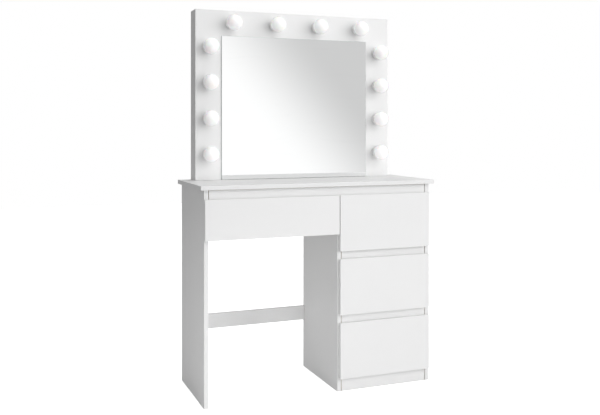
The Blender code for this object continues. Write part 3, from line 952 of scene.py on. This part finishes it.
# ---------------------------------------------------------------- drawers
class VANITY_OT_drawers(Operator):
    """The four drawers: fronts with a grip cut, foil wrapped boxes, bottoms and fixings"""
    bl_idname = "vanity.drawers"
    bl_label = "Drawers"

    def execute(self, context):
        sunk, cover = fitting("sunk_head"), fitting("cam_cover")
        for kind in DRAWERS:
            front = faced_board(kind + "_front_board", kind + "_front", shape=self.grip_cut)
            settle(front, kind, [kind + "_front"])
            for side in SIDES:
                self.box_board(kind, f"{kind}_{side}_side", 1, side)
            self.box_board(kind, kind + "_back", 0)
            hardboard(kind + "_bottom", kind, thin=2)
            self.fixings(kind, sunk, cover)
        drop(sunk, cover)
        return {"FINISHED"}

    @staticmethod
    def grip_cut(front, low, high):
        """Slope along the top rear arris, where fingers take hold."""
        slope = Vector((0.0, GRIP_FALL, GRIP_CUT)).normalized()
        with editing(front):
            bpy.ops.mesh.select_all(action="SELECT")
            bpy.ops.mesh.bisect(plane_co=(0.0, high.y - GRIP_CUT, high.z), plane_no=slope,
                                use_fill=True, clear_outer=True)

    @staticmethod
    def box_board(kind, node, along, side=None):
        """A side or the back of a drawer box. along is the axis that it runs along."""
        low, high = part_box(node)
        made = block(node + "_board", low, high)
        half_way = centre(node)[along]
        round_corners(made, TOP_ROUND, lambda edge: near(middle(edge).z, high.z)
                      and near(middle(edge)[along], half_way), segments=5)
        round_corners(made, 0.0003, is_corner, segments=2)
        dress(made, "box_foil", "chip_core")
        paint(made, 1, lambda face: abs(face.normal[along]) > 0.9)
        if side:
            bottom_low, bottom_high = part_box(kind + "_bottom")
            play = Vector((0.0005, 0.01, 0.0005))
            notch(made, bottom_low - play, bottom_high + play)
            sink_heads(made, back_screw_places(kind, side))
        settle(made, kind, [node])

    @staticmethod
    def fixings(kind, sunk, cover):
        """Screws into the box's back, and covers over the cams that hold the front."""
        heads, covers = [], []
        for side in SIDES:
            low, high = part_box(f"{kind}_{side}_side")
            inner, inward = (high.x, "+x") if side == "left" else (low.x, "-x")
            heads += back_screw_places(kind, side)
            for z in up_and_down(low.z, high.z, CAM_COVERS):
                covers.append(((inner, low.y + CAM_REACH + 0.004, z), inward))
        settle(spread(sunk, kind + "_screws", heads), kind)
        settle(spread(cover, kind + "_cam_covers", covers), kind)


# ---------------------------------------------------------------- runners
RUNNER_LENGTH = 0.290
RUNNER_HEIGHT = 0.030
RUNNER_METAL = 0.0012
CHANNEL_DEPTH = 0.0100
DRAWER_FLANGE = 0.0107   # from the panel to the drawer member's upright


class VANITY_OT_runners(Operator):
    """Runners: folded steel members with nylon rollers, for both sides of each drawer"""
    bl_idname = "vanity.runners"
    bl_label = "Drawer runners"

    def execute(self, context):
        pan, roller, pin = fitting("pan_head"), fitting("roller"), fitting("roller_pin")
        models = {
            "cabinet_member": self.cabinet_member(),
            "cabinet_fixings": self.fixings((pan, roller, pin), RUNNER_METAL, "+x",
                                            (0.037, 0.165, 0.261), 0.0150,
                                            (0.0020, 0.012, 0.0110)),
            "drawer_member": self.drawer_member(),
            "drawer_fixings": self.fixings((pan, roller, pin), DRAWER_FLANGE, "-x",
                                           (0.040, 0.150, 0.250), 0.0105,
                                           (0.0095, 0.278, 0.0099)),
        }
        for kind in DRAWERS:
            for side in SIDES:
                node = f"{kind}_runner_{side}"
                low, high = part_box(node)
                place = (low.x if side == "left" else high.x, low.y, low.z)
                for part, model in models.items():
                    made = copy_of(model, f"{kind}_{part}_{side}", place,
                                   mirrored=side == "right")
                    body = "carcass" if part.startswith("cabinet") else kind
                    stands_for = [node] if part == "cabinet_member" else ()
                    settle(made, body, stands_for)
        drop(pan, roller, pin, *models.values())
        return {"FINISHED"}

    @staticmethod
    def cabinet_member():
        """Channel on the panel: drawn at the origin, opening to +X."""
        made = upright_sheet("cabinet_member", 0.0, (0.0, RUNNER_LENGTH), (0.0, RUNNER_HEIGHT))
        for z in (0.0, RUNNER_HEIGHT):
            fold(made, lambda edge: near(middle(edge).z, z)
                 and near(middle(edge).y, RUNNER_LENGTH / 2), CHANNEL_DEPTH)
        thicken(made, RUNNER_METAL, bpy.context.scene.vanity_metal.fold)
        slots = [((RUNNER_METAL, y, RUNNER_HEIGHT / 2), "+x")
                 for y in (0.069, 0.101, 0.197, 0.229)]
        dress(made, "runner_coat")
        bore(made, 0.0022, 0.003, slots, "plated_steel")
        return made

    @staticmethod
    def drawer_member():
        """Z-shaped member under the drawer's side, which runs on the channel's roller."""
        foot, top = -0.0016, 0.0200
        made = upright_sheet("drawer_member", DRAWER_FLANGE, (0.001, RUNNER_LENGTH - 0.001),
                             (foot, top))
        for z, reach in ((foot, 0.0112), (top, -0.0072)):
            fold(made, lambda edge: near(middle(edge).z, z)
                 and near(middle(edge).y, RUNNER_LENGTH / 2)
                 and near(middle(edge).x, DRAWER_FLANGE), reach)
        thicken(made, RUNNER_METAL, bpy.context.scene.vanity_metal.fold)
        dress(made, "runner_coat")
        return made

    @staticmethod
    def fixings(models, face, side, screws, screw_z, start):
        """The screws of one member, and a roller on its pin that starts at a place."""
        pan, roller, pin = models
        heads = spread(pan, "heads", [((face, y, screw_z), side) for y in screws])
        placed = [copy_of(part, "part", start, TURN[side]) for part in (roller, pin)]
        return join("fixings", [heads] + placed)


# ---------------------------------------------------------------- mirror box
def lamp_places():
    """Every lamp's middle as (x, z), by its name."""
    return {lamp: (centre("bulb_" + lamp).x, centre("bulb_" + lamp).z) for lamp in LAMPS}


class VANITY_OT_mirror_box(Operator):
    """Mirror box: front panel with lamp holes, side, top and bottom boards and back cover"""
    bl_idname = "vanity.mirror_box"
    bl_label = "Mirror box"

    def execute(self, context):
        front = faced_board("mirror_front_panel_board", "mirror_front_panel")
        low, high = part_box("mirror_front_panel")
        holes = [((x, high.y, z), "+y") for x, z in lamp_places().values()]
        bore(front, HOLDER_HOLE, high.y - low.y + 0.003, holes)
        settle(front, "carcass", ["mirror_front_panel"])
        for node, raw in (("mirror_left_board", ("-z",)), ("mirror_right_board", ("-z",)),
                          ("mirror_top_board", ("-x", "+x")),
                          ("mirror_bottom_board", ("-x", "+x"))):
            settle(faced_board(node + "_board", node, raw), "carcass", [node])
        cover = block("mirror_back_cover_board", *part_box("mirror_back_cover"))
        round_corners(cover, 0.0003, segments=2)
        dress(cover, "hardboard_paint", "hardboard_fibre")
        paint(cover, 1, lambda face: face.normal.y < -0.7)
        sink_heads(cover, cover_screw_places(), "hardboard_fibre")
        inlet, outside = centre("power_inlet"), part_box("mirror_back_cover")[1].y
        bore(cover, INLET_HOLE, 0.006, [((inlet.x, outside, inlet.z), "+y")], "hardboard_fibre")
        settle(cover, "carcass", ["mirror_back_cover"])
        return {"FINISHED"}


class VANITY_OT_mirror_glass(Operator):
    """Mirror glass with its ground arris"""
    bl_idname = "vanity.mirror_glass"
    bl_label = "Mirror glass"

    def execute(self, context):
        mirror = context.scene.vanity_mirror
        glass = block("mirror_glass_pane", *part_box("mirror_glass"))
        round_corners(glass, mirror.arris, segments=1)
        dress(glass, "silvered_glass", "glass_edge", "mirror_backing")
        paint(glass, 1, lambda face: face.normal.y > -0.99)
        paint(glass, 2, lambda face: face.normal.y > 0.99)
        settle(glass, "carcass", ["mirror_glass"])
        return {"FINISHED"}


# ---------------------------------------------------------------- lamps
class VANITY_OT_lampholders(Operator):
    """Strip with twelve lampholders inside the mirror box, and the supply inlet"""
    bl_idname = "vanity.lampholders"
    bl_label = "Lampholders"

    def execute(self, context):
        low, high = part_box("lampholder_strip")
        front = high.y - STRIP_PLATE
        strip = block("lampholder_strip_plate", (low.x, front, low.z), high)
        dress(strip, "lamp_plastic")
        notch(strip, (low.x + STRIP_WIDTH, front - 0.01, low.z - 0.01),
              (high.x - STRIP_WIDTH, high.y + 0.01, high.z - STRIP_WIDTH), "lamp_plastic")
        round_corners(strip, 0.0006, is_corner, segments=2)
        settle(strip, "carcass", ["lampholder_strip"])
        reach = front - low.y
        holder = turned("holder", [
            (0.0220, 0.0), (0.0220, 0.0100), (0.0216, 0.0104), (0.0216, 0.0112),
            (0.0220, 0.0116), (0.0220, reach - 0.0012), (0.0216, reach - 0.0004),
            (0.0208, reach), (0.0164, reach), (0.0157, reach - 0.0006),
            (0.0155, reach - 0.0014), (0.0155, 0.0060), (0.0151, 0.0052), (0.0155, 0.0044),
            (0.0151, 0.0036), (0.0155, 0.0028), (0.0155, 0.0015), (0.0020, 0.0015)], 64)
        dress(holder, "lamp_plastic")
        for lamp, (x, z) in lamp_places().items():
            made = copy_of(holder, f"lampholder_{lamp}", (x, front, z), TURN["-y"])
            settle(made, "carcass")
        drop(holder)
        self.inlet()
        return {"FINISHED"}

    @staticmethod
    def inlet():
        """Round socket behind the back cover, with its middle pin."""
        low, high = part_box("power_inlet")
        deep = high.y - low.y
        shell = turned("shell", [
            (0.0084, 0.0), (0.0090, 0.0006), (0.0090, deep - 0.0053), (0.0140, deep - 0.0053),
            (0.0140, deep - 0.0036), (0.0137, deep - 0.0033), (0.0090, deep - 0.0033),
            (0.0090, deep - 0.0006), (0.0085, deep), (0.0056, deep), (0.0050, deep - 0.0006),
            (0.0050, deep / 2), (0.0010, deep / 2)], 48)
        dress(shell, "black_plastic")
        pin = turned("pin", [(0.0011, deep / 2 - 0.001), (0.0011, deep - 0.0028),
                             (0.0008, deep - 0.0022), (0.0003, deep - 0.0020)], 24)
        dress(pin, "plated_steel")
        whole = join("inlet", [shell, pin])
        x, _, z = centre("power_inlet")
        made = copy_of(whole, "power_inlet_socket", (x, low.y, z), TURN["+y"])
        drop(whole)
        settle(made, "carcass", ["power_inlet"])


class VANITY_OT_lamps(Operator):
    """Twelve round opal lamps with their necks and caps"""
    bl_idname = "vanity.lamps"
    bl_label = "Lamps"

    def execute(self, context):
        low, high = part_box("bulb_" + LAMPS[0])
        radius, deep = (high.x - low.x) / 2, high.y - low.y
        cap_end, neck_end = 0.0110, 0.0248
        cap = [(0.0060, 0.0), (0.0105, 0.0004), (0.0130, 0.0016), (0.0130, 0.0030),
               (0.0134, 0.0036), (0.0130, 0.0042), (0.0134, 0.0048), (0.0130, 0.0054),
               (0.0134, 0.0060), (0.0130, 0.0066), (0.0130, cap_end)]
        neck = [(0.0136, 0.0111), (0.0140, 0.0116), (0.0140, 0.0210), (0.0142, 0.0232),
                (0.0147, neck_end)]
        flare = [(0.0150, 0.0262), (0.0156, 0.0282), (0.0166, 0.0298), (0.0175, 0.0307)]
        globe = arc((0.0, deep - radius), radius, -52.0, 89.0, 30)
        model = turned("lamp", cap + neck + [(0.0144, neck_end + 0.0002),
                                             (0.0144, neck_end + 0.0007)] + flare + globe, 64)
        dress(model, "opal_globe", "lamp_plastic", "lamp_cap")
        paint(model, 1, lambda face: face.center.z < neck_end + 0.0004)
        paint(model, 2, lambda face: face.center.z < cap_end)
        for lamp, (x, z) in lamp_places().items():
            made = copy_of(model, f"{lamp}_lamp", (x, high.y, z), TURN["-y"])
            settle(made, "carcass", ["bulb_" + lamp])
        drop(model)
        return {"FINISHED"}


# ---------------------------------------------------------------- camera, light and floor
FLOOR_SIZE = 14.0
# Each soft light: name, power setting, aim, direction from the aim, distance, size and spread.
LIGHTS = (
    ("key_light", "key_power", (0.0, 0.0, 0.8), (0.47, -0.87, 0.30), 5.0, (6.0, 4.2), 180.0),
    ("top_light", "top_power", (0.0, 0.0, 0.8), (0.05, -0.12, 1.0), 4.5, (1.6, 1.6), 180.0),
    ("low_light", "low_power", (0.0, 0.0, 0.10), (-0.75, -0.66, 0.07), 2.8, (0.5, 0.5), 40.0),
    ("back_light", "back_power", (0.0, 0.0, 0.8), (0.35, 0.85, 0.40), 4.5, (2.0, 2.0), 180.0),
)


class VANITY_OT_stage(Operator):
    """Camera, soft light, surroundings and floor"""
    bl_idname = "vanity.stage"
    bl_label = "Stage"

    def execute(self, context):
        stage = context.scene.vanity_stage
        context.scene.view_settings.view_transform = "Standard"
        self.camera(context, stage)
        for name, power_name, *details in LIGHTS:
            self.soft_light(name, getattr(stage, power_name), *details)
        self.surroundings(context, stage)
        floor = add_shape("floor", bpy.ops.mesh.primitive_plane_add, size=FLOOR_SIZE)
        dress(floor, "pale_floor")
        return {"FINISHED"}

    @staticmethod
    def camera(context, stage):
        bpy.ops.object.select_all(action="DESELECT")
        bpy.ops.object.camera_add(location=stage.camera_place,
                                  rotation=(QUARTER, 0.0, -stage.camera_turn))
        camera = context.object
        camera.data.lens = stage.lens
        camera.data.shift_y = -stage.drop
        context.scene.camera = camera

    @staticmethod
    def soft_light(name, energy, aim, towards, distance, size, spread_angle):
        """A light, so wide and so high, that looks at one point from one direction."""
        towards = Vector(towards).normalized()
        bpy.ops.object.select_all(action="DESELECT")
        bpy.ops.object.light_add(type="AREA", location=Vector(aim) + towards * distance,
                                 rotation=towards.to_track_quat("Z", "Y").to_euler())
        light = bpy.context.object
        light.name = name
        light.data.shape = "RECTANGLE"
        light.data.size, light.data.size_y = size
        light.data.energy = energy
        light.data.spread = math.radians(spread_angle)
        light.visible_glossy = False

    @staticmethod
    def surroundings(context, stage):
        """White for the eye, even light for matt things, and a soft turn to grey for shiny ones."""
        world = bpy.data.worlds.new("surroundings")
        context.scene.world = world
        world.use_nodes = True
        tree = world.node_tree
        tree.nodes.clear()
        way = add_node(tree, "SeparateXYZ",
                       {"Vector": add_node(tree, "TexCoord").outputs["Generated"]})
        ahead = math_node(tree, "MAXIMUM", math_node(tree, "MULTIPLY", way.outputs["Y"], -1.0),
                          0.05)
        slant = math_node(tree, "MULTIPLY_ADD", way.outputs["Z"], 0.82, way.outputs["X"])
        across = math_node(tree, "DIVIDE", slant, ahead)
        grey = map_range(tree, across, 0.335, 0.51, smooth=True)
        card = blend(tree, grey, (1.08, 1.08, 1.08), (stage.grey_card,) * 3)
        behind = map_range(tree, way.outputs["Y"], -0.45, 0.05, smooth=True)
        card = blend(tree, behind, card, (stage.dark_card,) * 3)
        shiny = add_node(tree, "Background", {"Color": card, "Strength": 1.0})
        even = add_node(tree, "Background",
                        {"Color": (1.0, 1.0, 1.0, 1.0), "Strength": stage.sky})
        seen = add_node(tree, "Background",
                        {"Color": (1.0, 1.0, 1.0, 1.0), "Strength": 1.0})
        rays = add_node(tree, "LightPath")
        lit = add_node(tree, "MixShader",
                       {0: rays.outputs["Is Glossy Ray"], 1: even.outputs[0],
                        2: shiny.outputs[0]})
        whole = add_node(tree, "MixShader",
                         {0: rays.outputs["Is Camera Ray"], 1: lit.outputs[0],
                          2: seen.outputs[0]})
        out = tree.nodes.new("ShaderNodeOutputWorld")
        tree.links.new(whole.outputs[0], out.inputs["Surface"])


# ---------------------------------------------------------------- the add-on
OPERATORS = (VANITY_OT_stage, VANITY_OT_carcass, VANITY_OT_fittings, VANITY_OT_drawers,
             VANITY_OT_runners, VANITY_OT_mirror_box, VANITY_OT_mirror_glass,
             VANITY_OT_lampholders, VANITY_OT_lamps)
SETTINGS = {"vanity_boards": VanityBoardSettings, "vanity_metal": VanityMetalSettings,
            "vanity_mirror": VanityMirrorSettings, "vanity_lamps": VanityLampSettings,
            "vanity_stage": VanityStageSettings}


class VANITY_PT_sidebar(Panel):
    """Lists the pieces and their settings"""
    bl_label = "Vanity table"
    bl_idname = "VANITY_PT_sidebar"
    bl_space_type = "VIEW_3D"
    bl_region_type = "UI"
    bl_category = "Vanity"

    def draw(self, context):
        for operator in OPERATORS:
            self.layout.operator(operator.bl_idname)
        for label in SETTINGS:
            settings = getattr(context.scene, label)
            box = self.layout.box()
            box.label(text=label.replace("_", " ").capitalize())
            for key in settings.__annotations__:
                box.prop(settings, key)


def register():
    for cls in (*SETTINGS.values(), *OPERATORS, VANITY_PT_sidebar):
        bpy.utils.register_class(cls)
    for label, cls in SETTINGS.items():
        setattr(bpy.types.Scene, label, PointerProperty(type=cls))


def unregister():
    for label in SETTINGS:
        delattr(bpy.types.Scene, label)
    for cls in reversed((*SETTINGS.values(), *OPERATORS, VANITY_PT_sidebar)):
        bpy.utils.unregister_class(cls)


def main():
    register()
    for operator in OPERATORS:
        group, name = operator.bl_idname.split(".")
        getattr(getattr(bpy.ops, group), name)()


if __name__ == "__main__":
    main()
